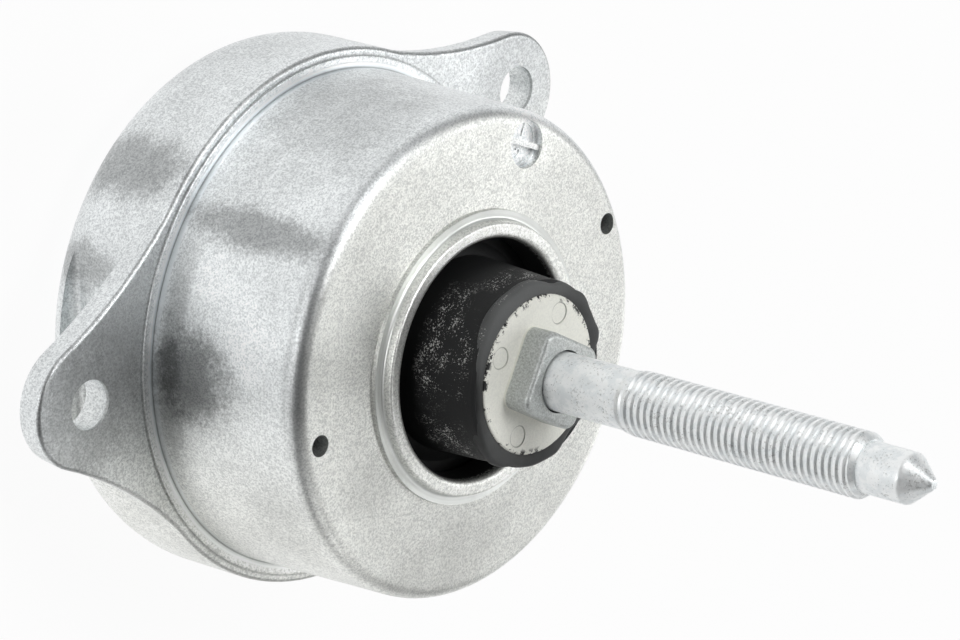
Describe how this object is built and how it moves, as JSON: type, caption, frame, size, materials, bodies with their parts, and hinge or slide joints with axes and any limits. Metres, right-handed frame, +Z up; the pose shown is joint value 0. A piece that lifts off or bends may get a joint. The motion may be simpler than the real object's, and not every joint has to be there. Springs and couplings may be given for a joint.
{
  "type": "engine mount",
  "caption": "Hydraulic engine mount: a round cast aluminium housing with a bolt ear on each side, and a threaded stud on a core that sits in rubber.",
  "frame": {"origin": "on the stud's axis, in the plane of the flat rear face that the mount stands on", "axes": "+Z up the stud towards its tip, X from ear to ear, +Y to the side that the ears' holes lie on"},
  "size_m": [0.1415, 0.1002, 0.1667],
  "materials": {
    "drum_casting": "blasted die casting",
    "nose_casting": "blasted die casting",
    "cover_metal": "smooth pressed",
    "spring_steel": "dark spring steel",
    "core_casting": "as cast",
    "zinc_steel": "zinc plated",
    "plain_steel": "plain",
    "track_metal": "machined",
    "black_rubber": "moulded, matt"
  },
  "bodies": {
    "root": {"drum_housing": "drum_casting", "nose_housing": "nose_casting", "rear_cover": "cover_metal", "rear_snap_ring": "spring_steel", "core": "core_casting", "stud": "zinc_steel", "main_spring": "black_rubber", "spring_ring": "plain_steel", "track_top": "track_metal", "track_body": "track_metal", "decoupler": "black_rubber", "diaphragm": "black_rubber", "bead_insert": "plain_steel", "front_seal": "black_rubber", "track_seal": "black_rubber", "track_rivets": "zinc_steel"}
  },
  "joints": []
}
